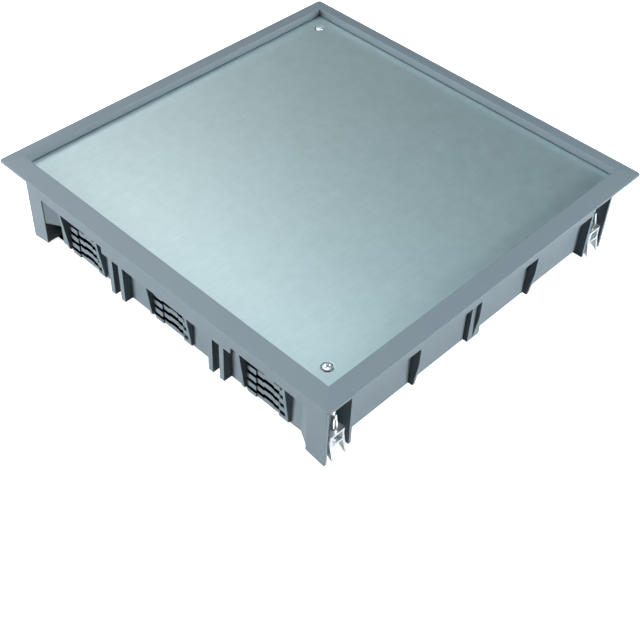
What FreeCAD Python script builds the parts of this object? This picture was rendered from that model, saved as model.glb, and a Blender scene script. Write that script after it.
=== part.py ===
"""A square floor box cover: a moulded frame for a cut-out in a floor, closed by a sheet-steel plate.

The frame's sloping flange lies on the floor around the cut-out. Its rim stands above the plate, so that
a square of floor covering can be laid on the plate. A skirt hangs from the flange, and the walls stand
back from it behind ribs. Two of the walls carry slotted racks that take the hooks of device boxes.
A pocket in each corner holds a claw, which climbs its screw until it grips the floor panel from below.

The origin is under the centre of the cover, on the plane of its feet. X is to the right, Y to the back
and Z up. All lengths are in millimetres.
"""
import FreeCAD
import Part
import Sketcher
import os

# Driving dimensions: alias, value, what it measures
DRIVING = [
    ("total_height", 59.5, "feet to the top of the rim"),
    ("flange_width", 264.0, "outside of the flange, both ways"),
    ("flange_edge", 1.5, "thickness of the flange at its outer edge"),
    ("flange_rise", 2.5, "height of the slope from the outer edge to the rim"),
    ("flange_corner", 1.2, "cut at the flange's corners"),
    ("rim_land", 0.6, "flat top of the rim"),
    ("flange_overhang", 9.0, "flange's outer edge to the face of the skirt"),
    ("rim_inset", 10.8, "flange's outer edge to the inside of the rim"),
    ("recess_depth", 5.0, "rim top to the plate, for the floor covering"),
    ("plate_thickness", 3.0, "steel plate"),
    ("plate_gap", 0.5, "gap between the plate and the rim"),
    ("seat_width", 9.2, "ledge under the plate, in from the rim"),
    ("seat_thickness", 3.0, "ledge under the plate"),
    ("skirt_wall", 2.2, "thickness of the skirt"),
    ("skirt_drop", 20.4, "flange underside to the skirt's lower edge"),
    ("apron_width", 107.4, "deeper middle part of the skirt, front and back"),
    ("apron_drop", 4.7, "apron below the rest of the skirt"),
    ("wall_recess", 5.5, "skirt face to wall face"),
    ("wall_thickness", 2.2, "walls below the skirt"),
    ("wall_lift", 4.5, "feet to the lower edge of the walls"),
    ("rack_spacing", 75.8, "from one rack to the next"),
    ("rack_width", 31.2, "rack, between its side ribs"),
    ("rack_lift", 3.0, "feet to the lower edge of the racks"),
    ("rack_tile", 7.0, "outer tile of a rack"),
    ("rack_step", 1.0, "middle part of a rack, behind its outer tiles"),
    ("slot_height", 2.5, "slot of a rack"),
    ("slot_pitch", 6.1, "from one slot of a rack to the next"),
    ("slot_lift", 2.7, "lower edge of a rack to its lowest slot"),
    ("slot_count", 4, "slots in each rack"),
    ("slot_centre", 7.1, "raised middle part of a slot"),
    ("slot_rise", 0.9, "middle part of a slot above its ends"),
    ("side_rib", 2.2, "thickness of the ribs beside a rack"),
    ("side_rib_lift", 6.5, "feet to the lower edge of the ribs beside a rack"),
    ("side_rib_rake", 3.6, "set-back of a side rib at its lower end"),
    ("pair_offset", 41.8, "centre of the cover to a pair of guide ribs"),
    ("pair_gap", 5.3, "gap between two guide ribs"),
    ("pair_rib", 3.6, "width of a guide rib"),
    ("gusset_offset", 51.0, "centre of a side wall to its outer gussets"),
    ("gusset_thickness", 2.0, "gussets on the side walls"),
    ("gusset_knee", 12.5, "skirt's lower edge to where a gusset starts to taper"),
    ("gusset_rake", 2.5, "set-back of a gusset at its lower end"),
    ("pilaster_width", 10.5, "block behind the middle gusset"),
    ("pilaster_depth", 3.0, "block behind the middle gusset, in front of the wall"),
    ("post_width", 13.6, "corner post, along X"),
    ("post_depth", 20.0, "corner post, along Y"),
    ("post_wall", 2.0, "walls of a corner post"),
    ("post_lift", 2.5, "feet to the lower edge of the post's inner walls"),
    ("foot_slope", 2.0, "rise of a foot's lower edge from its outer corner"),
    ("pad_thickness", 6.0, "block over a corner post, under the plate"),
    ("web_run", 8.6, "slanting web beside a corner post, along X"),
    ("web_set", 0.5, "slanting web behind the post's front face"),
    ("web_lift", 17.5, "feet to the lower edge of the two short slanting webs"),
    ("boss_inset", 11.9, "rim to a cover screw's axis, along X and Y"),
    ("boss_diameter", 8.4, "boss for a cover screw"),
    ("boss_height", 12.0, "boss for a cover screw, below the plate"),
    ("insert_diameter", 5.6, "threaded insert"),
    ("insert_length", 8.0, "threaded insert"),
    ("thread_diameter", 4.0, "thread of every screw"),
    ("thread_clearance", 0.1, "around a screw in its nut or insert"),
    ("hole_clearance", 0.25, "around a screw in a plain hole"),
    ("cover_head_diameter", 7.0, "raised countersunk head of a cover screw"),
    ("cover_head_depth", 1.5, "cone of a cover screw's head"),
    ("cover_head_crown", 0.8, "raised part of a cover screw's head, above the plate"),
    ("cover_crown_diameter", 4.6, "flat top of a cover screw's head"),
    ("cover_screw_length", 10.0, "cover screw below the plate's upper face"),
    ("head_diameter", 7.0, "pan head of a claw screw"),
    ("head_height", 2.4, "pan head of a claw screw"),
    ("head_side", 1.5, "straight side of a claw screw's head"),
    ("head_top_diameter", 4.8, "flat top of a claw screw's head"),
    ("head_sink", 2.9, "counterbore for a claw screw's head"),
    ("head_clearance", 0.4, "around a head in its counterbore"),
    ("recess_arm", 0.9, "width of the cross recess in a screw head"),
    ("recess_span", 4.0, "length of the cross recess in a screw head"),
    ("recess_sink", 1.2, "depth of the cross recess in a screw head"),
    ("screw_inset", 5.8, "skirt face to a claw screw's axis"),
    ("screw_tip", 3.5, "feet to the end of a claw screw"),
    ("claw_sheet", 1.5, "sheet steel of a claw"),
    ("claw_bend", 1.2, "outer radius of a claw's folds"),
    ("claw_width", 11.0, "outside of a claw"),
    ("claw_inset", 0.5, "skirt face to a claw's front plate"),
    ("claw_depth", 9.3, "claw's cheeks, front to back"),
    ("claw_lift", 5.0, "feet to the lower edge of a claw's cheeks"),
    ("claw_height", 13.5, "claw's cheeks"),
    ("front_lift", 4.5, "claw's front plate above the lower edge of its cheeks"),
    ("window_width", 6.7, "window in a claw's front plate"),
    ("window_height", 6.0, "window in a claw's front plate"),
    ("window_sink", 1.5, "claw's upper edge to its window"),
    ("prong_reach", 1.8, "tip of a prong in front of the claw"),
    ("prong_drop", 4.4, "tip of a prong below the claw's cheeks"),
    ("prong_root", 4.0, "root of a prong, back from the claw's front"),
    ("nut_width", 7.0, "square nut"),
    ("nut_height", 3.2, "square nut"),
    ("clip_strip", 0.8, "strip of the keeper spring"),
    ("clip_width", 1.6, "width of the keeper spring"),
    ("clip_gap", 0.3, "claw screw to the keeper spring"),
    ("clip_bulge", 1.3, "keeper spring's bend in front of its upper end"),
    ("clip_foot", 1.2, "keeper spring's foot on the claw"),
    ("clip_bend", 6.5, "claw's upper face to the keeper spring's bend"),
    ("clip_height", 11.4, "keeper spring above the claw"),
]

PLANES = {"XY": "XY_Plane", "XZ": "XZ_Plane", "YZ": "YZ_Plane"}
SIDES = (-1, 1)
TOUCH = 1e-4


class Size:
    """A length that keeps the spreadsheet expression it is worked out from beside its value."""

    def __init__(self, value, text):
        self.value = float(value)
        self.text = text

    def __add__(self, other):
        other = as_size(other)
        return Size(self.value + other.value, f"({self.text} + {other.text})")

    def __sub__(self, other):
        other = as_size(other)
        return Size(self.value - other.value, f"({self.text} - {other.text})")

    def __mul__(self, other):
        other = as_size(other)
        return Size(self.value * other.value, f"({self.text} * {other.text})")

    def __truediv__(self, other):
        other = as_size(other)
        return Size(self.value / other.value, f"({self.text} / {other.text})")

    def __neg__(self):
        return self * -1

    __rmul__ = __mul__


def as_size(number):
    """A plain number as a Size, and a Size as it is."""
    return number if isinstance(number, Size) else Size(number, f"({float(number)})")


class Sheet:
    """The document's spreadsheet, with one attribute for each driving dimension."""

    def __init__(self, document):
        cells = document.addObject("Spreadsheet::Sheet", "Sizes")
        for row, (alias, value, meaning) in enumerate(DRIVING, start=1):
            cells.set(f"A{row}", alias)
            cells.set(f"B{row}", str(value))
            cells.set(f"C{row}", meaning)
            cells.setAlias(f"B{row}", alias)
            setattr(self, alias, Size(value, f"Sizes.{alias}"))
        document.recompute()


def rectangle(x_low, x_high, y_low, y_high):
    """Corners of a rectangle."""
    return [(x_low, y_low), (x_high, y_low), (x_high, y_high), (x_low, y_high)]


def square(half):
    """Corners of a square about the origin."""
    return rectangle(-half, half, -half, half)


def cut_square(half, cut):
    """A square about the origin with its corners cut off."""
    edge = half - cut
    return [
        (-edge, -half), (edge, -half), (half, -edge), (half, edge),
        (edge, half), (-edge, half), (-half, edge), (-half, -edge),
    ]


def turned(points, x_side, y_side):
    """Points carried to another corner of the cover."""
    return [(x * x_side, y * y_side) for x, y in points]


def add_polygon(sketch, points):
    """A closed polygon whose corners are each held at their distance from the sketch's origin."""
    points = [(as_size(x), as_size(y)) for x, y in points]
    first = sketch.GeometryCount
    corners = [FreeCAD.Vector(x.value, y.value, 0) for x, y in points]
    following = corners[1:] + corners[:1]
    sketch.addGeometry([Part.LineSegment(start, end) for start, end in zip(corners, following)], False)
    lines = [first + number for number in range(len(points))]
    joins = zip(lines, lines[1:] + lines[:1])
    sketch.addConstraint([Sketcher.Constraint("Coincident", line, 2, after, 1) for line, after in joins])
    hold_points(sketch, [(line, 1, x, y) for line, (x, y) in zip(lines, points)])


def add_circle(sketch, x, y, radius):
    """A circle held by its centre and its radius."""
    x, y, radius = as_size(x), as_size(y), as_size(radius)
    centre = FreeCAD.Vector(x.value, y.value, 0)
    circle = sketch.addGeometry(Part.Circle(centre, FreeCAD.Vector(0, 0, 1), radius.value), False)
    hold_points(sketch, [(circle, 3, x, y)])
    index = sketch.addConstraint(Sketcher.Constraint("Radius", circle, radius.value))
    sketch.setExpression(f"Constraints[{index}]", radius.text)


def hold_points(sketch, holds):
    """Binds points of a sketch to their two distances from the sketch's origin."""
    bindings = [
        (kind, geometry, point, distance)
        for geometry, point, x, y in holds
        for kind, distance in (("DistanceX", x), ("DistanceY", y))
    ]
    first = sketch.ConstraintCount
    sketch.addConstraint([
        Sketcher.Constraint(kind, -1, 1, geometry, point, distance.value)
        for kind, geometry, point, distance in bindings
    ])
    for index, binding in enumerate(bindings, start=first):
        sketch.setExpression(f"Constraints[{index}]", binding[-1].text)


class Piece:
    """One body, built up feature by feature from sketches on its own origin planes.

    A sketch on XZ looks along +Y, so its offset runs towards -Y. One on YZ looks along -X, and its
    offset runs towards +X.
    """

    def __init__(self, document, name):
        self.document = document
        self.body = document.addObject("PartDesign::Body", name)
        self.body.Label = name

    def sketch(self, name, plane, offset, polygons=(), circles=()):
        sketch = self.body.newObject("Sketcher::SketchObject", f"{self.body.Name}_{name}_sketch")
        role = PLANES[plane]
        support = next(feature for feature in self.body.Origin.OriginFeatures if feature.Role == role)
        sketch.AttachmentSupport = [(support, "")]
        sketch.MapMode = "FlatFace"
        sketch.setExpression("AttachmentOffset.Base.z", as_size(offset).text)
        for points in polygons:
            add_polygon(sketch, points)
        for x, y, radius in circles:
            add_circle(sketch, x, y, radius)
        return sketch

    def feature(self, kind, name, profile):
        feature = self.body.newObject(f"PartDesign::{kind}", f"{self.body.Name}_{name}")
        feature.Profile = profile
        return feature

    def pad(self, name, plane, low, high, polygons=(), circles=()):
        """Material between two offsets of a plane."""
        pad = self.feature("Pad", name, self.sketch(name, plane, low, polygons, circles))
        pad.setExpression("Length", (as_size(high) - low).text)
        return self.settled(pad, grows=True)

    def pocket(self, name, plane, high, low, polygons=(), circles=()):
        """A cut between two offsets of a plane."""
        pocket = self.feature("Pocket", name, self.sketch(name, plane, high, polygons, circles))
        pocket.setExpression("Length", (as_size(high) - low).text)
        return self.settled(pocket, grows=False)

    def loft(self, name, plane, low, low_points, high, high_points):
        """A straight-sided loft from one outline to another."""
        loft = self.feature("AdditiveLoft", name, self.sketch(f"{name}_low", plane, low, [low_points]))
        loft.Sections = [self.sketch(f"{name}_high", plane, high, [high_points])]
        loft.Ruled = True
        return self.settled(loft, grows=True)

    def revolve(self, name, points):
        """A turned piece about the Z axis, from its half profile on XZ."""
        sketch = self.sketch(name, "XZ", 0, [points])
        revolution = self.feature("Revolution", name, sketch)
        revolution.ReferenceAxis = (sketch, ["V_Axis"])
        revolution.Angle = 360
        return self.settled(revolution, grows=True)

    def repeat(self, name, feature, axis, pitch, count):
        """Copies of a feature in a row along an axis of its sketch."""
        before = self.body.Shape.Volume
        pattern = self.body.newObject("PartDesign::LinearPattern", f"{self.body.Name}_{name}")
        pattern.Originals = [feature]
        pattern.Direction = (feature.Profile[0], [axis])
        pattern.setExpression("Length", (pitch * (count - 1)).text)
        pattern.setExpression("Occurrences", count.text)
        self.body.Tip = pattern
        self.document.recompute()
        if abs(self.body.Shape.Volume - before) < 1e-6:
            raise ValueError(f"{pattern.Name} repeats nothing")
        return pattern

    def fillet(self, name, feature, radius, on_edge):
        """Rounds the edges of the last feature that the test picks out."""
        edges = [f"Edge{n}" for n, edge in enumerate(feature.Shape.Edges, start=1) if on_edge(edge)]
        fillet = self.body.newObject("PartDesign::Fillet", f"{self.body.Name}_{name}")
        fillet.Base = (feature, edges)
        fillet.setExpression("Radius", radius.text)
        return self.settled(fillet, grows=False)

    def settled(self, feature, grows):
        """Recomputes and makes sure that the feature adds or removes material."""
        before = feature.BaseFeature.Shape.Volume if feature.BaseFeature else 0.0
        self.document.recompute()
        change = feature.Shape.Volume - before
        if (change > 0) != grows or abs(change) < 1e-6:
            raise ValueError(f"{feature.Name} changes the volume by {change:.3f} mm3")
        return feature

    def place(self, x, y, z):
        """Moves the finished body to its place on the cover."""
        for axis, distance in zip("xyz", (x, y, z)):
            self.body.setExpression(f"Placement.Base.{axis}", as_size(distance).text)


class Layout:
    """Levels and distances that several pieces share, worked out from the driving dimensions."""

    def __init__(self, s):
        self.outer = s.flange_width / 2
        self.skirt = self.outer - s.flange_overhang
        self.rim = self.outer - s.rim_inset
        self.seat_inside = self.rim - s.seat_width
        self.boss = self.rim - s.boss_inset
        self.edge_top = s.total_height - s.flange_rise
        self.underside = self.edge_top - s.flange_edge
        self.plate_top = s.total_height - s.recess_depth
        self.seat = self.plate_top - s.plate_thickness
        self.ceiling = self.seat - s.seat_thickness
        self.pad_underside = self.seat - s.pad_thickness
        self.band = self.underside - s.skirt_drop
        self.skirt_inside = self.skirt - s.skirt_wall
        self.face = self.skirt - s.wall_recess
        self.back = self.face - s.wall_thickness
        self.post_inside = self.skirt - s.post_width
        self.post_end = self.skirt - s.post_depth
        self.pocket_back = self.post_inside + s.post_wall
        self.pocket_low = self.post_end + s.post_wall
        self.pocket_high = self.skirt - s.post_wall
        self.pocket_middle = (self.pocket_low + self.pocket_high) / 2
        self.thread_radius = s.thread_diameter / 2
        self.screw_x = self.skirt - s.screw_inset
        self.head_seat = self.seat - s.head_sink
        self.claw_top = s.claw_lift + s.claw_height
        self.claw_front = self.skirt - s.claw_inset
        self.claw_back = self.claw_front - s.claw_depth
        self.lug_under = self.claw_top - s.claw_sheet


def rack_centres(s):
    """X of the three racks of a wall."""
    return (-s.rack_spacing, as_size(0), s.rack_spacing)


def cover_screw_spots(at):
    """X and Y of the two cover screws."""
    return [(at.boss, -at.boss), (-at.boss, at.boss)]


def rack_front(s, at, centre):
    """Plan of a rack's front in the rear wall, which steps in at the middle."""
    middle_front = at.face - s.rack_step
    tile = s.rack_width / 2 - s.rack_tile
    return [
        (centre - tile, at.face), (centre - tile, middle_front),
        (centre + tile, middle_front), (centre + tile, at.face),
    ]


def rack_wall_outline(s, at):
    """Plan of the rear wall: a straight back, and a front with three racks."""
    end = at.post_inside - s.web_run
    points = [(-end, at.back), (-end, at.face)]
    for centre in rack_centres(s):
        points += rack_front(s, at, centre)
    return points + [(end, at.face), (end, at.back)]


def rack_outline(s, at, centre):
    """Plan of one rack of the rear wall."""
    low, high = centre - s.rack_width / 2, centre + s.rack_width / 2
    return [(low, at.back), (low, at.face)] + rack_front(s, at, centre) + [(high, at.face), (high, at.back)]


def rack_slot(s, centre, low):
    """Front view of a slot, whose middle part is higher than its ends."""
    half = s.rack_width / 2
    raised = s.slot_centre / 2
    lower = [
        (centre - half, low), (centre - raised, low), (centre - raised, low + s.slot_rise),
        (centre + raised, low + s.slot_rise), (centre + raised, low), (centre + half, low),
    ]
    return lower + [(x, z + s.slot_height) for x, z in reversed(lower)]


def build_flange(frame, s, at):
    """The sloping flange, the tray for the plate, the ledge under it and the skirt."""
    frame.pad("skirt", "XY", at.band, at.underside, [square(at.skirt)])
    frame.pad("edge", "XY", at.underside, at.edge_top, [cut_square(at.outer, s.flange_corner)])
    land = at.rim + s.rim_land
    frame.loft(
        "slope", "XY", at.edge_top, cut_square(at.outer, s.flange_corner),
        s.total_height, cut_square(land, s.rim_land),
    )
    frame.pocket("tray", "XY", s.total_height, at.seat, [square(at.rim)])
    frame.pocket("ledge", "XY", at.seat, at.ceiling, [square(at.seat_inside)])
    frame.pocket("cavity", "XY", at.ceiling, at.band, [square(at.skirt_inside)])


def build_rack_walls(frame, s, at):
    """The front and rear walls with their slotted racks, side ribs, aprons and guide ribs."""
    outline = rack_wall_outline(s, at)
    walls = [turned(outline, 1, side) for side in SIDES]
    frame.pad("rack_walls", "XY", s.wall_lift, at.ceiling, walls)
    racks = [turned(rack_outline(s, at, centre), 1, side) for centre in rack_centres(s) for side in SIDES]
    frame.pad("rack_ends", "XY", s.rack_lift, s.wall_lift, racks)
    half = s.rack_width / 2
    slot_low = s.rack_lift + s.slot_lift
    slots = [rack_slot(s, centre, slot_low) for centre in rack_centres(s)]
    lowest = frame.pocket("slots", "XZ", at.skirt, -at.skirt, slots)
    frame.repeat("slot_rows", lowest, "V_Axis", s.slot_pitch, s.slot_count)
    ribs = [
        turned(rectangle(centre + low, centre + low + s.side_rib, at.face, at.skirt), 1, side)
        for centre in rack_centres(s)
        for low in (-half - s.side_rib, half)
        for side in SIDES
    ]
    frame.pad("side_ribs", "XY", s.side_rib_lift, at.band, ribs)
    rake = [
        (at.skirt, at.band), (at.outer, at.band),
        (at.outer, s.side_rib_lift), (at.skirt - s.side_rib_rake, s.side_rib_lift),
    ]
    rakes = [turned(rake, side, 1) for side in SIDES]
    frame.pocket("side_rib_rake", "YZ", at.skirt, -at.skirt, rakes)
    apron = s.apron_width / 2
    aprons = [turned(rectangle(-apron, apron, at.skirt_inside, at.skirt), 1, side) for side in SIDES]
    frame.pad("aprons", "XY", at.band - s.apron_drop, at.band, aprons)
    guide_low = s.pair_gap / 2
    guides = [
        turned(rectangle(centre + low, centre + low + s.pair_rib, at.face, at.skirt), 1, side)
        for centre in (-s.pair_offset, s.pair_offset)
        for low in (guide_low, -guide_low - s.pair_rib)
        for side in SIDES
    ]
    frame.pad("guide_ribs", "XY", s.wall_lift, at.band, guides)


def build_side_walls(frame, s, at):
    """The plain left and right walls, stiffened by tapered gussets."""
    walls = [turned(rectangle(at.back, at.face, -at.post_end, at.post_end), side, 1) for side in SIDES]
    frame.pad("side_walls", "XY", s.wall_lift, at.ceiling, walls)
    pilaster = s.pilaster_width / 2
    blocks = [
        turned(rectangle(at.face, at.face + s.pilaster_depth, -pilaster, pilaster), side, 1)
        for side in SIDES
    ]
    frame.pad("pilasters", "XY", s.wall_lift, at.ceiling, blocks)
    half = s.gusset_thickness / 2
    gussets = [
        turned(rectangle(at.face, at.skirt, centre - half, centre + half), side, 1)
        for centre in (-s.gusset_offset, as_size(0), s.gusset_offset)
        for side in SIDES
    ]
    frame.pad("gussets", "XY", s.wall_lift, at.band, gussets)
    knee = at.band - s.gusset_knee
    rake = [
        (at.skirt, knee), (at.outer, knee),
        (at.outer, s.wall_lift), (at.skirt - s.gusset_rake, s.wall_lift),
    ]
    rakes = [turned(rake, side, 1) for side in SIDES]
    reach = s.gusset_offset + s.gusset_thickness
    frame.pocket("gusset_rake", "XZ", reach, -reach, rakes)


def build_corners(frame, s, at):
    """The four corner posts: a pocket for the claw, open to the side, on a foot whose lower edge slopes."""
    corners = [(x_side, y_side) for x_side in SIDES for y_side in SIDES]
    channel = [
        (at.post_inside, at.post_end), (at.skirt, at.post_end), (at.skirt, at.pocket_low),
        (at.pocket_back, at.pocket_low), (at.pocket_back, at.pocket_high), (at.skirt, at.pocket_high),
        (at.skirt, at.skirt), (at.post_inside, at.skirt),
    ]
    frame.pad("posts", "XY", s.post_lift, at.ceiling, [turned(channel, *corner) for corner in corners])
    foot = rectangle(at.post_inside, at.skirt, at.pocket_high, at.skirt)
    frame.pad("feet", "XY", 0, s.post_lift, [turned(foot, *corner) for corner in corners])
    slope = [(at.post_inside, s.foot_slope), (at.post_inside, as_size(0)), (at.skirt, as_size(0))]
    frame.pocket("foot_slopes", "XZ", at.skirt, -at.skirt, [turned(slope, side, 1) for side in SIDES])
    pad = rectangle(at.post_inside, at.skirt_inside, at.post_end, at.skirt_inside)
    frame.pad("corner_pads", "XY", at.pad_underside, at.seat, [turned(pad, *corner) for corner in corners])
    mouth = rectangle(at.pocket_back, at.skirt, at.pocket_low, at.pocket_high)
    mouths = [turned(mouth, *corner) for corner in corners]
    frame.pocket("mouths", "XY", at.pad_underside, s.post_lift, mouths)
    web_end = at.post_inside - s.web_run
    web_front = at.skirt - s.web_set
    web = [
        (web_end, at.back), (web_end, at.face),
        (at.post_inside, web_front), (at.post_inside, web_front - s.wall_thickness),
    ]
    short_webs = [turned(web, *corner) for corner in ((-1, -1), (1, 1))]
    long_webs = [turned(web, *corner) for corner in ((1, -1), (-1, 1))]
    frame.pad("short_webs", "XY", s.web_lift, at.ceiling, short_webs)
    frame.pad("long_webs", "XY", s.wall_lift, at.ceiling, long_webs)


def build_screw_places(frame, s, at):
    """Bosses for the two cover screws, and the holes for the four claw screws."""
    spots = cover_screw_spots(at)
    boss = [(x, y, s.boss_diameter / 2) for x, y in spots]
    frame.pad("bosses", "XY", at.seat - s.boss_height, at.seat, circles=boss)
    bore = [(x, y, s.insert_diameter / 2) for x, y in spots]
    frame.pocket("insert_bores", "XY", at.seat, at.seat - s.insert_length, circles=bore)
    corners = [(at.screw_x * x_side, at.pocket_middle * y_side) for x_side in SIDES for y_side in SIDES]
    through = [(x, y, at.thread_radius + s.hole_clearance) for x, y in corners]
    frame.pocket("claw_screw_holes", "XY", at.seat, at.pad_underside, circles=through)
    sink = [(x, y, s.head_diameter / 2 + s.head_clearance) for x, y in corners]
    frame.pocket("claw_screw_sinks", "XY", at.seat, at.head_seat, circles=sink)


def make_frame(document, s, at):
    """The frame, one moulding of grey plastic."""
    frame = Piece(document, "frame")
    build_flange(frame, s, at)
    build_rack_walls(frame, s, at)
    build_side_walls(frame, s, at)
    build_corners(frame, s, at)
    build_screw_places(frame, s, at)
    return frame.body


def make_plate(document, s, at):
    """The zinc-coated steel plate, countersunk for two screws in opposite corners."""
    plate = Piece(document, "cover_plate")
    half = at.rim - s.plate_gap
    plate.pad("sheet", "XY", at.seat, at.plate_top, [square(half)])
    hole = at.thread_radius + s.hole_clearance
    sink = s.cover_head_diameter / 2 + s.hole_clearance
    sink_end = at.plate_top - s.cover_head_depth
    for number, (x, y) in enumerate(cover_screw_spots(at), start=1):
        plate.pocket(f"hole_{number}", "XY", at.plate_top, at.seat, circles=[(x, y, hole)])
        mouth = plate.sketch(f"mouth_{number}", "XY", at.plate_top, circles=[(x, y, sink)])
        throat = plate.sketch(f"throat_{number}", "XY", sink_end, circles=[(x, y, hole)])
        countersink = plate.feature("SubtractiveLoft", f"countersink_{number}", mouth)
        countersink.Sections = [throat]
        plate.settled(countersink, grows=False)
    return plate.body


def cross_recess(piece, s, head_top):
    """The cross recess in a screw's head."""
    arm = s.recess_arm / 2
    reach = s.recess_span / 2
    cross = [
        (-arm, -reach), (arm, -reach), (arm, -arm), (reach, -arm), (reach, arm), (arm, arm),
        (arm, reach), (-arm, reach), (-arm, arm), (-reach, arm), (-reach, -arm), (-arm, -arm),
    ]
    piece.pocket("recess", "XY", head_top, head_top - s.recess_sink, [cross])


def make_cover_screws(document, s, at):
    """Two raised countersunk screws through the plate, each in a threaded insert in its boss."""
    pieces = []
    zero = as_size(0)
    crown = s.cover_head_crown
    insert_top = -s.plate_thickness
    for place, (x, y) in zip(("front_right", "rear_left"), cover_screw_spots(at)):
        screw = Piece(document, f"cover_screw_{place}")
        screw.revolve("turned", [
            (zero, -s.cover_screw_length), (at.thread_radius, -s.cover_screw_length),
            (at.thread_radius, -s.cover_head_depth), (s.cover_head_diameter / 2, zero),
            (s.cover_crown_diameter / 2, crown), (zero, crown),
        ])
        cross_recess(screw, s, crown)
        screw.place(x, y, at.plate_top)
        insert = Piece(document, f"cover_insert_{place}")
        bore = at.thread_radius + s.thread_clearance
        circles = [(zero, zero, s.insert_diameter / 2), (zero, zero, bore)]
        insert.pad("sleeve", "XY", insert_top - s.insert_length, insert_top, circles=circles)
        insert.place(x, y, at.plate_top)
        pieces += [screw.body, insert.body]
    return pieces


def make_claw(document, s, at):
    """The claw in the rear right corner, folded from zinc-coated sheet, with two pointed prongs."""
    claw = Piece(document, "claw_rear_right")
    half = s.claw_width / 2
    middle = at.pocket_middle
    cheek = [
        (at.claw_back, at.claw_top), (at.claw_front, at.claw_top),
        (at.claw_front, s.claw_lift + s.front_lift),
        (at.claw_front + s.prong_reach, s.claw_lift - s.prong_drop),
        (at.claw_front - s.prong_root, s.claw_lift), (at.claw_back, s.claw_lift),
    ]
    inner = half - s.claw_sheet
    front = rectangle(at.claw_front - s.claw_sheet, at.claw_front, middle - half, middle + half)
    claw.pad("front", "XY", s.claw_lift + s.front_lift, at.claw_top, [front])
    claw.pad("far_cheek", "XZ", -middle - half, -middle - inner, [cheek])
    claw.pad("near_cheek", "XZ", -middle + inner, -middle + half, [cheek])
    lug = rectangle(at.claw_back, at.claw_front, middle - half, middle + half)
    folded = claw.pad("lug", "XY", at.lug_under, at.claw_top, [lug])

    def on_fold(edge):
        box = edge.BoundBox
        upright = box.ZLength > s.front_lift.value and box.XLength < TOUCH and box.YLength < TOUCH
        return upright and abs(box.XMax - at.claw_front.value) < TOUCH

    claw.fillet("folds", folded, s.claw_bend, on_fold)
    window_top = at.claw_top - s.window_sink
    window = rectangle(
        middle - s.window_width / 2, middle + s.window_width / 2, window_top - s.window_height, window_top,
    )
    claw.pocket("window", "YZ", at.claw_front, at.claw_front - s.claw_sheet, [window])
    hole = (at.screw_x, middle, at.thread_radius + s.thread_clearance)
    claw.pocket("screw_hole", "XY", at.claw_top, at.lug_under, circles=[hole])
    return claw.body


def make_nut(document, s, at):
    """The square nut under the claw's lug, which keeps it from turning between the cheeks."""
    nut = Piece(document, "claw_nut_rear_right")
    half = s.nut_width / 2
    middle = at.pocket_middle
    outline = rectangle(at.screw_x - half, at.screw_x + half, middle - half, middle + half)
    bore = (at.screw_x, middle, at.thread_radius + s.thread_clearance)
    nut.pad("block", "XY", at.lug_under - s.nut_height, at.lug_under, [outline], [bore])
    return nut.body


def make_clip(document, s, at):
    """The keeper spring on the claw, a bent strip that leans back towards the screw."""
    clip = Piece(document, "claw_spring_rear_right")
    inside = at.screw_x + at.thread_radius + s.clip_gap
    bend = inside + s.clip_bulge
    base = at.claw_top
    outline = [
        (inside, base), (inside + s.clip_foot, base), (bend + s.clip_strip, base + s.clip_bend),
        (inside + s.clip_strip, base + s.clip_height), (inside, base + s.clip_height - s.clip_strip / 2),
        (bend, base + s.clip_bend), (inside + s.clip_foot - s.clip_strip / 2, base + s.clip_strip),
        (inside, base + s.clip_strip),
    ]
    half = s.clip_width / 2
    clip.pad("strip", "XZ", -at.pocket_middle - half, -at.pocket_middle + half, [outline])
    return clip.body


def make_claw_screw(document, s, at):
    """The pan-head screw that carries the claw, turned from above once the plate is off."""
    screw = Piece(document, "claw_screw_rear_right")
    head = s.head_diameter / 2
    tip = s.screw_tip - at.head_seat
    zero = as_size(0)
    screw.revolve("turned", [
        (zero, tip), (at.thread_radius, tip), (at.thread_radius, zero), (head, zero),
        (head, s.head_side), (s.head_top_diameter / 2, s.head_height), (zero, s.head_height),
    ])
    cross_recess(screw, s, s.head_height)
    screw.place(at.screw_x, at.pocket_middle, at.head_seat)
    return screw.body


def mirrored(document, source, name, normal):
    """A copy of a piece on the other side of the cover."""
    copy = document.addObject("Part::Mirroring", name)
    copy.Label = name
    copy.Source = source
    copy.Base = FreeCAD.Vector(0, 0, 0)
    copy.Normal = FreeCAD.Vector(*normal)
    return copy


def at_all_corners(document, source):
    """A piece from the rear right corner, with its copies in the other three."""
    name = source.Label
    across_x, across_y = (1, 0, 0), (0, 1, 0)
    rear_left = mirrored(document, source, name.replace("rear_right", "rear_left"), across_x)
    front_right = mirrored(document, source, name.replace("rear_right", "front_right"), across_y)
    front_left = mirrored(document, rear_left, name.replace("rear_right", "front_left"), across_y)
    return [source, rear_left, front_right, front_left]


def checked(document, pieces):
    """Stops if an object failed to compute or a piece isn't one valid solid."""
    document.recompute()
    failed = [item.Name for item in document.Objects if {"Invalid", "Error"} & set(item.State)]
    if failed:
        raise ValueError(f"failed objects: {failed}")
    for piece in pieces:
        shape = piece.Shape
        if shape.isNull() or not shape.isValid() or len(shape.Solids) != 1:
            raise ValueError(f"{piece.Label} isn't one valid solid")


def main():
    document = FreeCAD.newDocument("FloorBoxCover")
    s = Sheet(document)
    at = Layout(s)
    pieces = [make_frame(document, s, at), make_plate(document, s, at)]
    pieces += make_cover_screws(document, s, at)
    for make in (make_claw, make_nut, make_clip, make_claw_screw):
        pieces += at_all_corners(document, make(document, s, at))
    checked(document, pieces)
    os.makedirs("parts", exist_ok=True)
    for piece in pieces:
        piece.Shape.exportStep(os.path.join("parts", f"{piece.Label}.step"))
        print(f"{piece.Label:28s} {piece.Shape.Volume / 1000:9.3f} cm3")


main()
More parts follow.
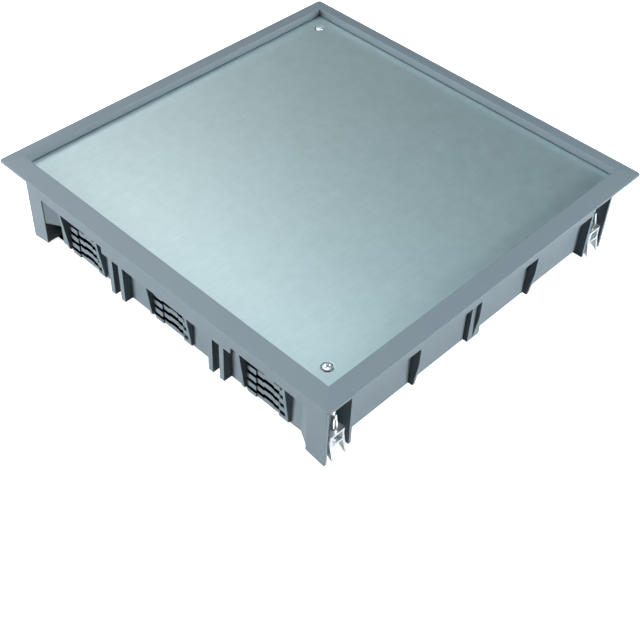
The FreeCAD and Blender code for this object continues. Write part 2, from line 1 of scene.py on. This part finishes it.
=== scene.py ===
import bmesh
import bpy
import math
from mathutils import Matrix, Vector


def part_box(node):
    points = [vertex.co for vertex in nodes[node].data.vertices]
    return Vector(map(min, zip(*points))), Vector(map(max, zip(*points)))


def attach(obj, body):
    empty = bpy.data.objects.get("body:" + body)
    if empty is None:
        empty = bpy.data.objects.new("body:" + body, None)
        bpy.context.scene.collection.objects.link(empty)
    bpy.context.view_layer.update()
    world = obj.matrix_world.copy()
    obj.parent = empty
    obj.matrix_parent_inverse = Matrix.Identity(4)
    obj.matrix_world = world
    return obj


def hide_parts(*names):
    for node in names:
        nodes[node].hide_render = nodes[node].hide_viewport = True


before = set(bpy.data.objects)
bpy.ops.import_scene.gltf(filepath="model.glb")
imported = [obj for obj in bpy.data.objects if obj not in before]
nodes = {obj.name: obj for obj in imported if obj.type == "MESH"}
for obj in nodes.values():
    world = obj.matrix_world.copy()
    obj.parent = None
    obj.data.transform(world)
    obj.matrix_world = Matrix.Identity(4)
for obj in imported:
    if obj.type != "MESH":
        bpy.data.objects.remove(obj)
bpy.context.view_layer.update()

scene = bpy.context.scene

# Frame: one injection moulding in grey polycarbonate blend, with a spark-eroded matt skin on every face.
# The flange lies on the floor, and the ribbed walls hang below it. The mould leaves a small radius on
# each outer edge, which catches the light.
MM = 0.001
FRAME_EDGE = 0.2 * MM
FRAME_GREY = "#7a878d"
FRAME_GREY_DEEP = "#738088"
SKIN_GRAIN = 0.55 * MM
SKIN_CLOUD = 45 * MM
SKIN_RELIEF = 0.06 * MM
SKIN_ROUGHNESS = (0.5, 0.68)
POLYCARBONATE_IOR = 1.58
SAME_POINT = 0.002 * MM
FLAT_ANGLE = 0.5
EDGE_ANGLE = 40
FRAME_CREASE = 12
RACK_BACK = 115.3 * MM
SLOT_LOWEST = 5.7 * MM
SLOT_PITCH = 6.1 * MM
SLOT_RISE = 0.9 * MM
SLOT_ROWS = 4
LIP_SLOPE = 2.0 * MM
SAME_PLACE = 0.05 * MM


def linear(colour):
    """An sRGB hex colour as linear values with full alpha."""
    parts = [int(colour[place:place + 2], 16) / 255 for place in (1, 3, 5)]
    return tuple(p / 12.92 if p <= 0.04045 else ((p + 0.055) / 1.055) ** 2.4 for p in parts) + (1.0,)


def add_node(tree, kind, inputs=None, **settings):
    """Adds a node, sets its properties, and sets or links its inputs by name or number."""
    made = tree.nodes.new(kind)
    for name, value in settings.items():
        setattr(made, name, value)
    for name, value in (inputs or {}).items():
        if isinstance(value, bpy.types.NodeSocket):
            tree.links.new(value, made.inputs[name])
        else:
            made.inputs[name].default_value = value
    return made


def new_material(name):
    """An empty material, with its tree, its shader and its object coordinates."""
    material = bpy.data.materials.new(name)
    material.use_nodes = True
    tree = material.node_tree
    shader = tree.nodes["Principled BSDF"]
    place = add_node(tree, "ShaderNodeTexCoord").outputs["Object"]
    return material, tree, shader, place


def finished(piece, material, body, slot, *replaced):
    """Gives a piece its material, sets it on its body and hides the nodes that it stands for."""
    piece.data.materials.clear()
    piece.data.materials.append(material)
    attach(piece, body)
    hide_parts(*replaced)


def plain_mesh(piece, crease):
    """Turns a piece with live modifiers into a plain mesh, smooth up to the crease angle in degrees."""
    bpy.context.view_layer.update()
    evaluated = piece.evaluated_get(bpy.context.evaluated_depsgraph_get())
    mesh = bpy.data.meshes.new_from_object(evaluated)
    piece.modifiers.clear()
    piece.data = mesh
    mesh.shade_smooth()
    mesh.set_sharp_from_angle(angle=math.radians(crease))


def new_piece(name, mesh):
    """A new object at the origin, linked to the scene."""
    piece = bpy.data.objects.new(name, mesh)
    scene.collection.objects.link(piece)
    return piece


def eased_copy(name, node, radius, crease, trim=None):
    """A copy of a solid with its flat faces joined, its points trimmed and its edges rounded."""
    form = bmesh.new()
    form.from_mesh(nodes[node].data)
    bmesh.ops.remove_doubles(form, verts=form.verts, dist=SAME_POINT)
    flat = math.radians(FLAT_ANGLE)
    bmesh.ops.dissolve_limit(form, angle_limit=flat, verts=form.verts, edges=form.edges)
    form.verts.index_update()
    if trim:
        for vert in form.verts:
            vert.co = trim(vert.co)
    mesh = bpy.data.meshes.new(name)
    mesh.from_pydata([v.co for v in form.verts], [], [[v.index for v in f.verts] for f in form.faces])
    form.free()
    piece = new_piece(name, mesh)
    bevel = piece.modifiers.new("eased edges", "BEVEL")
    bevel.width = radius
    bevel.segments = 2
    bevel.limit_method = "ANGLE"
    bevel.angle_limit = math.radians(EDGE_ANGLE)
    bevel.use_clamp_overlap = False
    plain_mesh(piece, crease)
    return piece


# The eroded skin scatters light almost evenly, with a faint broad sheen and a slight cloudiness. Its grain
# is drawn about ten times as coarse as it is, because a finer one doesn't show at this size.
moulded_plastic, tree, shader, place = new_material("moulded_polycarbonate")
cloud = add_node(tree, "ShaderNodeTexNoise", {"Vector": place, "Scale": 1 / SKIN_CLOUD, "Detail": 3.0})
tone = add_node(tree, "ShaderNodeMix", {
    0: cloud.outputs["Fac"], 6: linear(FRAME_GREY_DEEP), 7: linear(FRAME_GREY),
}, data_type="RGBA")
tree.links.new(tone.outputs[2], shader.inputs["Base Color"])
grain = add_node(tree, "ShaderNodeTexNoise", {"Vector": place, "Scale": 1 / SKIN_GRAIN, "Detail": 2.0})
sheen = add_node(tree, "ShaderNodeMapRange", {
    "Value": grain.outputs["Fac"], "To Min": SKIN_ROUGHNESS[0], "To Max": SKIN_ROUGHNESS[1],
})
tree.links.new(sheen.outputs["Result"], shader.inputs["Roughness"])
bump = add_node(tree, "ShaderNodeBump", {
    "Height": grain.outputs["Fac"], "Strength": 0.12, "Distance": SKIN_RELIEF,
})
tree.links.new(bump.outputs["Normal"], shader.inputs["Normal"])
shader.inputs["IOR"].default_value = POLYCARBONATE_IOR


def slope_slot_lips(point):
    """Lowers the inner edge of a slot's lower lip, which the mould's draft slopes inwards."""
    at_back = abs(abs(point.y) - RACK_BACK) < SAME_PLACE
    on_lip = any(abs(point.z - level) < SAME_PLACE for level in slot_levels)
    return point - Vector((0, 0, LIP_SLOPE)) if at_back and on_lip else point


slot_levels = [
    SLOT_LOWEST + row * SLOT_PITCH + rise for row in range(SLOT_ROWS) for rise in (0.0, SLOT_RISE)
]
moulding = eased_copy("frame_moulding", "frame", FRAME_EDGE, FRAME_CREASE, slope_slot_lips)
finished(moulding, moulded_plastic, "cover", "frame_plastic", "frame")

# Cover plate: zinc-coated sheet steel, sheared square and countersunk in two corners. It lies loose on the
# frame's ledge under the rim, and two screws hold it. The coating keeps the fine straight lines of rolling.
PLATE_EDGE = 0.35 * MM
ZINC_PALE = "#b7cacc"
ZINC_DEEP = "#9db0b3"
ROLLED_LINE = 0.8 * MM
ROLLED_LENGTH = 18 * MM
ZINC_CLOUD = 7 * MM
CLOUD_SHARE = 0.45
ROLLED_RELIEF = 0.03 * MM
ROLLED_ROUGHNESS = (0.36, 0.5)
ROLLED_METALLIC = 0.72
PLATE_CREASE = 12
COUNTERSINK = 4.5 * MM
COUNTERSINK_SHOWN = 0.88

# Hot-dipped sheet reads as a soft blurred mirror, drawn out along the lines of rolling. Those are drawn
# about five times as wide as they are, because finer ones don't show at this size.
rolled_zinc, tree, shader, place = new_material("rolled_zinc_coated_steel")
drawn = add_node(tree, "ShaderNodeMapping", {
    "Vector": place, "Scale": (1 / ROLLED_LINE, 1 / ROLLED_LENGTH, 1 / ROLLED_LINE),
})
lines = add_node(tree, "ShaderNodeTexNoise", {"Vector": drawn.outputs["Vector"], "Scale": 1.0, "Detail": 4.0})
cloud = add_node(tree, "ShaderNodeTexNoise", {"Vector": place, "Scale": 1 / ZINC_CLOUD, "Detail": 4.0})
blend = add_node(tree, "ShaderNodeMix", {
    0: CLOUD_SHARE, 2: lines.outputs["Fac"], 3: cloud.outputs["Fac"],
}, data_type="FLOAT")
tone = add_node(tree, "ShaderNodeMix", {
    0: blend.outputs[0], 6: linear(ZINC_DEEP), 7: linear(ZINC_PALE),
}, data_type="RGBA")
tree.links.new(tone.outputs[2], shader.inputs["Base Color"])
blur = add_node(tree, "ShaderNodeMapRange", {
    "Value": blend.outputs[0], "To Min": ROLLED_ROUGHNESS[0], "To Max": ROLLED_ROUGHNESS[1],
})
tree.links.new(blur.outputs["Result"], shader.inputs["Roughness"])
bump = add_node(tree, "ShaderNodeBump", {
    "Height": lines.outputs["Fac"], "Strength": 0.06, "Distance": ROLLED_RELIEF,
})
tree.links.new(bump.outputs["Normal"], shader.inputs["Normal"])
shader.inputs["Metallic"].default_value = ROLLED_METALLIC

plate_screws = {spot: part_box(f"cover_screw_{spot}") for spot in ("front_right", "rear_left")}
plate_screw_axes = [
    Vector(((low[0] + high[0]) / 2, (low[1] + high[1]) / 2)) for low, high in plate_screws.values()
]


def close_countersink(point):
    """Draws a countersink in the plate's upper face in to the ring that shows round the screw's head."""
    for axis in plate_screw_axes:
        out = point.xy - axis
        if out.length < COUNTERSINK:
            return Vector((*(axis + out * COUNTERSINK_SHOWN), point.z))
    return point


plate = eased_copy("steel_plate", "cover_plate", PLATE_EDGE, PLATE_CREASE, close_countersink)
finished(plate, rolled_zinc, "cover", "plate_steel", "cover_plate")

# Cover screws: two zinc-plated raised countersunk screws with a cross recess, which hold the plate down.
# Each head is cold-formed, so its crown is a smooth low dome and the recess tapers to a point.
COVER_HEAD = 2.85 * MM
COVER_CROWN = 0.7 * MM
COVER_CONE = 1.5 * MM
COVER_SHANK = 2.0 * MM
COVER_LENGTH = 10.0 * MM
COVER_POINT = 0.3 * MM
POINT_SHARE = 0.8
RECESS_REACH = 1.8 * MM
RECESS_ARM = 0.4 * MM
RECESS_DEPTH = 1.3 * MM
RECESS_LEVELS = ((1.0, 1.35), (0.0, 1.0), (-0.6, 0.62), (-1.0, 0.3))
TURNED_SIDES = 64
SCREW_CREASE = 30
CROWN_STEPS = 8
BRIGHT_ZINC = "#eef2f4"
BRIGHT_ZINC_DEEP = "#ccd5d9"
PLATING_BLOOM = 1.6 * MM
PLATING_RELIEF = 0.03 * MM
PLATING_ROUGHNESS = (0.2, 0.42)
PLATING_METALLIC = 0.65


def lathe(name, profile, centre):
    """A turned mesh about an upright axis, from radius and height pairs that start and end on the axis."""
    form = bmesh.new()
    rings = []
    for radius, height in profile:
        turns = 1 if radius == 0 else TURNED_SIDES
        ring = []
        for turn in range(turns):
            angle = 2 * math.pi * turn / TURNED_SIDES
            offset = Vector((radius * math.cos(angle), radius * math.sin(angle), height))
            ring.append(form.verts.new(Vector(centre) + offset))
        rings.append(ring)
    for below, above in zip(rings, rings[1:]):
        for turn in range(TURNED_SIDES):
            after = (turn + 1) % TURNED_SIDES
            corners = [below[turn % len(below)], below[after % len(below)]]
            corners += [above[after % len(above)], above[turn % len(above)]]
            form.faces.new(list(dict.fromkeys(corners)))
    mesh = bpy.data.meshes.new(name)
    form.to_mesh(mesh)
    form.free()
    return new_piece(name, mesh)


def cut_cross_recess(piece, centre, top):
    """Cuts a cross recess that narrows towards its point into a screw's head. Each of its levels has a
    height, in depths of the recess, and a share of the cross's width."""
    arm, reach = RECESS_ARM, RECESS_REACH
    cross = [
        (arm, arm), (arm, reach), (-arm, reach), (-arm, arm), (-reach, arm), (-reach, -arm),
        (-arm, -arm), (-arm, -reach), (arm, -reach), (arm, -arm), (reach, -arm), (reach, arm),
    ]
    form = bmesh.new()
    rings = []
    for rise, share in RECESS_LEVELS:
        level = top + rise * RECESS_DEPTH
        offsets = [Vector((x * share, y * share, level)) for x, y in cross]
        rings.append([form.verts.new(Vector(centre) + offset) for offset in offsets])
    for upper, lower in zip(rings, rings[1:]):
        for spot in range(len(cross)):
            after = (spot + 1) % len(cross)
            form.faces.new((upper[spot], upper[after], lower[after], lower[spot]))
    form.faces.new(rings[0])
    form.faces.new(list(reversed(rings[-1])))
    bmesh.ops.recalc_face_normals(form, faces=form.faces)
    mesh = bpy.data.meshes.new("recess")
    form.to_mesh(mesh)
    form.free()
    cutter = new_piece("recess", mesh)
    cut = piece.modifiers.new("recess", "BOOLEAN")
    cut.object = cutter
    cut.solver = "EXACT"
    plain_mesh(piece, SCREW_CREASE)
    bpy.data.objects.remove(cutter)


# Bright zinc plating is a pale, cool mirror, and its bloom scatters part of the light in small patches.
bright_zinc, tree, shader, place = new_material("bright_zinc_plating")
patches = add_node(tree, "ShaderNodeTexNoise", {"Vector": place, "Scale": 1 / PLATING_BLOOM, "Detail": 4.0})
tone = add_node(tree, "ShaderNodeMix", {
    0: patches.outputs["Fac"], 6: linear(BRIGHT_ZINC_DEEP), 7: linear(BRIGHT_ZINC),
}, data_type="RGBA")
tree.links.new(tone.outputs[2], shader.inputs["Base Color"])
blur = add_node(tree, "ShaderNodeMapRange", {
    "Value": patches.outputs["Fac"], "To Min": PLATING_ROUGHNESS[0], "To Max": PLATING_ROUGHNESS[1],
})
tree.links.new(blur.outputs["Result"], shader.inputs["Roughness"])
bump = add_node(tree, "ShaderNodeBump", {
    "Height": patches.outputs["Fac"], "Strength": 0.08, "Distance": PLATING_RELIEF,
})
tree.links.new(bump.outputs["Normal"], shader.inputs["Normal"])
shader.inputs["Metallic"].default_value = PLATING_METALLIC

plate_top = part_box("cover_plate")[1][2]
crown_steps = [step / CROWN_STEPS for step in range(CROWN_STEPS)]
cover_profile = [(0.0, -COVER_LENGTH), (POINT_SHARE * COVER_SHANK, -COVER_LENGTH)]
cover_profile += [(COVER_SHANK, COVER_POINT - COVER_LENGTH), (COVER_SHANK, -COVER_CONE), (COVER_HEAD, 0.0)]
cover_profile += [
    (COVER_HEAD * math.cos(step * math.pi / 2), COVER_CROWN * math.sin(step * math.pi / 2))
    for step in crown_steps[1:]
]
cover_profile += [(0.0, COVER_CROWN)]
for spot, axis in zip(plate_screws, plate_screw_axes):
    centre = (*axis, plate_top)
    screw = lathe(f"plate_screw_{spot}", cover_profile, centre)
    cut_cross_recess(screw, centre, COVER_CROWN)
    finished(screw, bright_zinc, "cover", "screw_steel", f"cover_screw_{spot}")

# Threaded inserts: two short brass sleeves pressed into the bosses under the plate, which hides them.
# They are turned from bar, so fine rings run round them.
BRASS = "#b58f4a"
BRASS_DEEP = "#9c7a3c"
TURNING_MARK = 0.2 * MM
WAVE_RADIANS = 20
TURNED_ROUGHNESS = (0.25, 0.38)

# Turned brass is a warm mirror, ringed by the tool. The rings are drawn about six times as coarse as they
# are, a mark to each radian of the wave, so that they show.
turned_brass, tree, shader, place = new_material("turned_brass")
marks = add_node(tree, "ShaderNodeTexWave", {
    "Vector": place, "Scale": 1 / (WAVE_RADIANS * TURNING_MARK), "Distortion": 0.4,
}, bands_direction="Z")
tone = add_node(tree, "ShaderNodeMix", {
    0: marks.outputs["Fac"], 6: linear(BRASS_DEEP), 7: linear(BRASS),
}, data_type="RGBA")
tree.links.new(tone.outputs[2], shader.inputs["Base Color"])
blur = add_node(tree, "ShaderNodeMapRange", {
    "Value": marks.outputs["Fac"], "To Min": TURNED_ROUGHNESS[0], "To Max": TURNED_ROUGHNESS[1],
})
tree.links.new(blur.outputs["Result"], shader.inputs["Roughness"])
shader.inputs["Metallic"].default_value = 1.0
for spot in plate_screws:
    sleeve = nodes[f"cover_insert_{spot}"]
    sleeve.data.materials.clear()
    sleeve.data.materials.append(turned_brass)

# Claws: folded from zinc-plated sheet, one in each corner post, with two prongs that bite into the floor
# panel. A square nut sits under each lug between the cheeks, and the claw screw runs through both.
CORNERS = ("front_right", "front_left", "rear_right", "rear_left")
CLAW_EDGE = 0.18 * MM
NUT_EDGE = 0.3 * MM
FOLDED_CREASE = 16
for corner in CORNERS:
    claw = eased_copy(f"folded_claw_{corner}", f"claw_{corner}", CLAW_EDGE, FOLDED_CREASE)
    finished(claw, bright_zinc, f"claw_{corner}", "claw_zinc", f"claw_{corner}")
    nut = eased_copy(f"square_nut_{corner}", f"claw_nut_{corner}", NUT_EDGE, FOLDED_CREASE)
    finished(nut, bright_zinc, f"claw_{corner}", "claw_zinc", f"claw_nut_{corner}")

# Keeper springs: a bent strip of zinc-plated spring steel on each claw, in front of the screw. It bulges
# outwards, leans back to the screw and keeps the claw from sliding down on its own.
STRIP = 0.6 * MM
STRIP_WIDTH = 1.4 * MM
STRIP_FOOT = 1.2 * MM
STRIP_BULGE = 1.3 * MM
STRIP_BEND = 4.4 * MM
STRIP_TURN = 1.6 * MM
STRIP_CREASE = 35

strip_tree = bpy.data.node_groups.new("bent_strip", "GeometryNodeTree")
strip_sockets = strip_tree.interface
strip_sockets.new_socket("Path", in_out="INPUT", socket_type="NodeSocketGeometry")
for label, kind in (
    ("Thickness", "NodeSocketFloat"), ("Width", "NodeSocketFloat"), ("Bend radius", "NodeSocketFloat"),
    ("Finish", "NodeSocketMaterial"),
):
    strip_sockets.new_socket(label, in_out="INPUT", socket_type=kind)
strip_sockets.new_socket("Strip", in_out="OUTPUT", socket_type="NodeSocketGeometry")
given = add_node(strip_tree, "NodeGroupInput").outputs
route = add_node(strip_tree, "GeometryNodeMeshToCurve", {"Mesh": given["Path"]})
bent = add_node(strip_tree, "GeometryNodeFilletCurve", {
    "Curve": route.outputs[0], "Radius": given["Bend radius"], "Count": 7, "Limit Radius": True,
}, mode="POLY")
section = add_node(strip_tree, "GeometryNodeCurvePrimitiveQuadrilateral", {
    "Width": given["Width"], "Height": given["Thickness"],
})
swept = add_node(strip_tree, "GeometryNodeCurveToMesh", {
    "Curve": bent.outputs[0], "Profile Curve": section.outputs[0], "Fill Caps": True,
})
closed = add_node(strip_tree, "GeometryNodeMergeByDistance", {
    "Geometry": swept.outputs[0], "Distance": SAME_POINT,
})
whole = add_node(strip_tree, "GeometryNodeRealizeInstances", {"Geometry": closed.outputs[0]})
coated = add_node(strip_tree, "GeometryNodeSetMaterial", {
    "Geometry": whole.outputs[0], "Material": given["Finish"],
})
add_node(strip_tree, "NodeGroupOutput", {"Strip": coated.outputs[0]})


def set_inputs(modifier, sockets, wanted):
    """Sets a modifier's inputs from a dictionary of their names."""
    for socket in sockets.items_tree:
        if socket.name in wanted:
            modifier[socket.identifier] = wanted[socket.name]


for corner in CORNERS:
    low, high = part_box(f"claw_spring_{corner}")
    side = 1 if low[0] > 0 else -1
    inner = min(abs(low[0]), abs(high[0]))
    middle = (low[1] + high[1]) / 2
    half = STRIP / 2
    route_points = (
        (inner, low[2] + half), (inner + STRIP_FOOT - half, low[2] + half),
        (inner + STRIP_BULGE + half, low[2] + STRIP_BEND), (inner + half, high[2]),
    )
    mesh = bpy.data.meshes.new("route")
    mesh.from_pydata([(side * x, middle, z) for x, z in route_points], [(0, 1), (1, 2), (2, 3)], [])
    spring = new_piece(f"keeper_{corner}", mesh)
    strip = spring.modifiers.new("strip", "NODES")
    strip.node_group = strip_tree
    set_inputs(strip, strip_sockets, {
        "Thickness": STRIP, "Width": STRIP_WIDTH, "Bend radius": STRIP_TURN, "Finish": bright_zinc,
    })
    plain_mesh(spring, STRIP_CREASE)
    finished(spring, bright_zinc, f"claw_{corner}", "claw_zinc", f"claw_spring_{corner}")

# Claw screws: zinc-plated pan-head machine screws, hung in the corner pads under the plate. The rolled
# thread runs the whole length of the shank, so its ridges show in the open corner posts.
SCREW_CORE = 1.62 * MM
SCREW_CREST = 2.0 * MM
SCREW_PITCH = 0.7 * MM
SCREW_POINT = 0.4 * MM
THREAD_START = 0.8 * MM
THREAD_SPARE = 1.5 * MM
PAN_HEAD = 3.5 * MM
PAN_HEIGHT = 2.4 * MM
PAN_SIDE = 1.0 * MM
PAN_EDGE = 0.15 * MM

thread_tree = bpy.data.node_groups.new("rolled_thread", "GeometryNodeTree")
thread_sockets = thread_tree.interface
thread_sockets.new_socket("Core", in_out="INPUT", socket_type="NodeSocketGeometry")
for label, kind in (
    ("Turns", "NodeSocketFloat"), ("Height", "NodeSocketFloat"), ("Root radius", "NodeSocketFloat"),
    ("Ridge", "NodeSocketFloat"), ("Start", "NodeSocketVector"), ("Finish", "NodeSocketMaterial"),
):
    thread_sockets.new_socket(label, in_out="INPUT", socket_type=kind)
thread_sockets.new_socket("Screw", in_out="OUTPUT", socket_type="NodeSocketGeometry")
given = add_node(thread_tree, "NodeGroupInput").outputs
helix = add_node(thread_tree, "GeometryNodeCurveSpiral", {
    "Resolution": 20, "Rotations": given["Turns"], "Start Radius": given["Root radius"],
    "End Radius": given["Root radius"], "Height": given["Height"],
})
upright = add_node(thread_tree, "GeometryNodeSetCurveNormal", {"Curve": helix.outputs[0]}, mode="Z_UP")
ridge = add_node(thread_tree, "GeometryNodeCurvePrimitiveCircle", {"Resolution": 4, "Radius": given["Ridge"]})
swept = add_node(thread_tree, "GeometryNodeCurveToMesh", {
    "Curve": upright.outputs[0], "Profile Curve": ridge.outputs[0], "Fill Caps": True,
})
moved = add_node(thread_tree, "GeometryNodeTransform", {
    "Geometry": swept.outputs[0], "Translation": given["Start"],
})
joined = add_node(thread_tree, "GeometryNodeJoinGeometry", {"Geometry": given["Core"]})
thread_tree.links.new(moved.outputs[0], joined.inputs["Geometry"])
whole = add_node(thread_tree, "GeometryNodeRealizeInstances", {"Geometry": joined.outputs[0]})
coated = add_node(thread_tree, "GeometryNodeSetMaterial", {
    "Geometry": whole.outputs[0], "Material": given["Finish"],
})
add_node(thread_tree, "NodeGroupOutput", {"Screw": coated.outputs[0]})

for corner in CORNERS:
    low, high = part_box(f"claw_screw_{corner}")
    centre = ((low[0] + high[0]) / 2, (low[1] + high[1]) / 2, low[2])
    seat = high[2] - low[2] - PAN_HEIGHT
    dome = PAN_HEIGHT - PAN_SIDE
    crown = [
        (PAN_HEAD * math.cos(step * math.pi / 2), seat + PAN_SIDE + dome * math.sin(step * math.pi / 2))
        for step in crown_steps
    ]
    pan_profile = [(0.0, 0.0), (POINT_SHARE * SCREW_CORE, 0.0), (SCREW_CORE, SCREW_POINT), (SCREW_CORE, seat)]
    pan_profile += [(PAN_HEAD - PAN_EDGE, seat), (PAN_HEAD, seat + PAN_EDGE)]
    pan_profile += crown + [(0.0, seat + PAN_HEIGHT)]
    screw = lathe(f"threaded_screw_{corner}", pan_profile, centre)
    cut_cross_recess(screw, centre, seat + PAN_HEIGHT)
    thread = screw.modifiers.new("thread", "NODES")
    thread.node_group = thread_tree
    turns = (seat - THREAD_SPARE) / SCREW_PITCH
    wanted = {
        "Turns": turns, "Height": turns * SCREW_PITCH, "Root radius": SCREW_CORE,
        "Ridge": SCREW_CREST - SCREW_CORE, "Start": (centre[0], centre[1], centre[2] + THREAD_START),
        "Finish": bright_zinc,
    }
    set_inputs(thread, thread_sockets, wanted)
    plain_mesh(screw, SCREW_CREASE)
    finished(screw, bright_zinc, f"screw_{corner}", "screw_steel", f"claw_screw_{corner}")

# Floor: a plain pale sheet that runs well past the view, with the square opening that such a cover closes,
# so the space below the plate stays dark. It looks paler than the light it gives, as a lit backdrop does.
FLOOR_REACH = 12.0
FLOOR_GLOW = 0.2
FLOOR_SHOWN = 0.75
FLOOR_OPENING = 114 * MM
QUARTERS = ((-1, -1), (1, -1), (1, 1), (-1, 1))
floor_corners = [(x * reach, y * reach, 0.0) for reach in (FLOOR_REACH, FLOOR_OPENING) for x, y in QUARTERS]
floor_mesh = bpy.data.meshes.new("floor")
floor_mesh.from_pydata(floor_corners, [], [(k, (k + 1) % 4, 4 + (k + 1) % 4, 4 + k) for k in range(4)])
floor = new_piece("floor", floor_mesh)
pale_floor, tree, shader, _ = new_material("pale_floor")
shader.inputs["Base Color"].default_value = linear("#fbfbfb")
shader.inputs["Roughness"].default_value = 0.9
shader.inputs["Emission Color"].default_value = linear("#ffffff")
rays = add_node(tree, "ShaderNodeLightPath")
glow = add_node(tree, "ShaderNodeMix", {
    0: rays.outputs["Is Camera Ray"], 2: FLOOR_GLOW, 3: FLOOR_SHOWN,
}, data_type="FLOAT")
tree.links.new(glow.outputs[0], shader.inputs["Emission Strength"])
floor_mesh.materials.append(pale_floor)
floor.visible_diffuse = False

# Light: a dim room with a pale backdrop, a low soft box on each side of the camera, two weak ones behind,
# and two large ones overhead. The high one on the left makes the plate shade from left to right.
# Each box has a name, a direction, a width in metres, a power in watts and a tint.
SKY_LOW, SKY_HIGH = 0.0, 0.03
BACKDROP_FOOT, BACKDROP_FULL = -0.08, -0.05
SOFT_BOXES = (
    ("left_soft_box", (-0.32, -0.95, 0.27), 0.9, 38.0, "#ffffff"),
    ("right_soft_box", (0.95, 0.32, 0.24), 0.9, 41.0, "#ffffff"),
    ("back_left_soft_box", (-0.95, -0.10, 0.14), 0.9, 6.0, "#ffffff"),
    ("back_right_soft_box", (0.20, 0.95, 0.14), 0.9, 6.0, "#ffffff"),
    ("high_soft_box", (-0.53, 0.12, 0.84), 1.1, 11.8, "#fff2ee"),
    ("overhead_soft_box", (-0.15, 0.10, 1.0), 1.4, 9.4, "#d0f2ff"),
)
BOX_DISTANCE = 1.6
world = bpy.data.worlds.new("studio")
scene.world = world
world.use_nodes = True
tree = world.node_tree
tree.nodes.clear()
sky = add_node(tree, "ShaderNodeTexCoord")
height = add_node(tree, "ShaderNodeSeparateXYZ", {0: sky.outputs["Generated"]})
rise = add_node(tree, "ShaderNodeMapRange", {
    "Value": height.outputs["Z"], "From Min": 0.0, "From Max": 1.0, "To Min": SKY_LOW, "To Max": SKY_HIGH,
})
backdrop = add_node(tree, "ShaderNodeMapRange", {
    "Value": height.outputs["Z"], "From Min": BACKDROP_FOOT, "From Max": BACKDROP_FULL,
    "To Min": 0.0, "To Max": FLOOR_SHOWN,
})
rays = add_node(tree, "ShaderNodeLightPath")
shown = add_node(tree, "ShaderNodeMix", {
    0: rays.outputs["Is Camera Ray"], 2: rise.outputs["Result"], 3: backdrop.outputs["Result"],
}, data_type="FLOAT")
back = add_node(tree, "ShaderNodeBackground", {"Color": linear("#ffffff"), "Strength": shown.outputs[0]})
add_node(tree, "ShaderNodeOutputWorld", {"Surface": back.outputs[0]})

for name, direction, width, power, tint in SOFT_BOXES:
    light = bpy.data.lights.new(name, "AREA")
    light.shape = "SQUARE"
    light.size = width
    light.energy = power
    light.color = linear(tint)[:3]
    lamp = bpy.data.objects.new(name, light)
    towards = Vector(direction).normalized()
    lamp.location = towards * BOX_DISTANCE
    lamp.rotation_euler = (-towards).to_track_quat("-Z", "Y").to_euler()
    scene.collection.objects.link(lamp)

# Camera: the photograph's view from above the near corner, fitted to the flange, plate and feet. The
# gamma gives the picture the photograph's stronger contrast.
FOCAL_PIXELS = 1141.17
PICTURE_PIXELS = 640
SENSOR = 36.0
AZIMUTH, ELEVATION, ROLL = 0.736128, 0.793629, 0.0519746
SIDEWAYS, UPWARD, DISTANCE = -1.88284 * MM, -89.1143 * MM, 663.247 * MM
FITTED_ORIGIN = 57.0 * MM
PICTURE_GAMMA = 0.85
behind = Vector((
    math.sin(AZIMUTH) * math.cos(ELEVATION), -math.cos(AZIMUTH) * math.cos(ELEVATION), math.sin(ELEVATION),
))
level = Vector((math.cos(AZIMUTH), math.sin(AZIMUTH), 0.0))
upright = behind.cross(level)
across = math.cos(ROLL) * level + math.sin(ROLL) * upright
upward = -math.sin(ROLL) * level + math.cos(ROLL) * upright
camera_data = bpy.data.cameras.new("camera")
camera_data.sensor_width = SENSOR
camera_data.lens = FOCAL_PIXELS / PICTURE_PIXELS * SENSOR
camera_data.clip_start = 0.01
camera = bpy.data.objects.new("camera", camera_data)
spot = across * SIDEWAYS + upward * UPWARD + behind * DISTANCE + Vector((0, 0, FITTED_ORIGIN))
turn = Matrix((across, upward, behind)).transposed().to_4x4()
camera.matrix_world = Matrix.Translation(spot) @ turn
scene.collection.objects.link(camera)
scene.camera = camera
scene.view_settings.view_transform = "Standard"
scene.view_settings.gamma = PICTURE_GAMMA
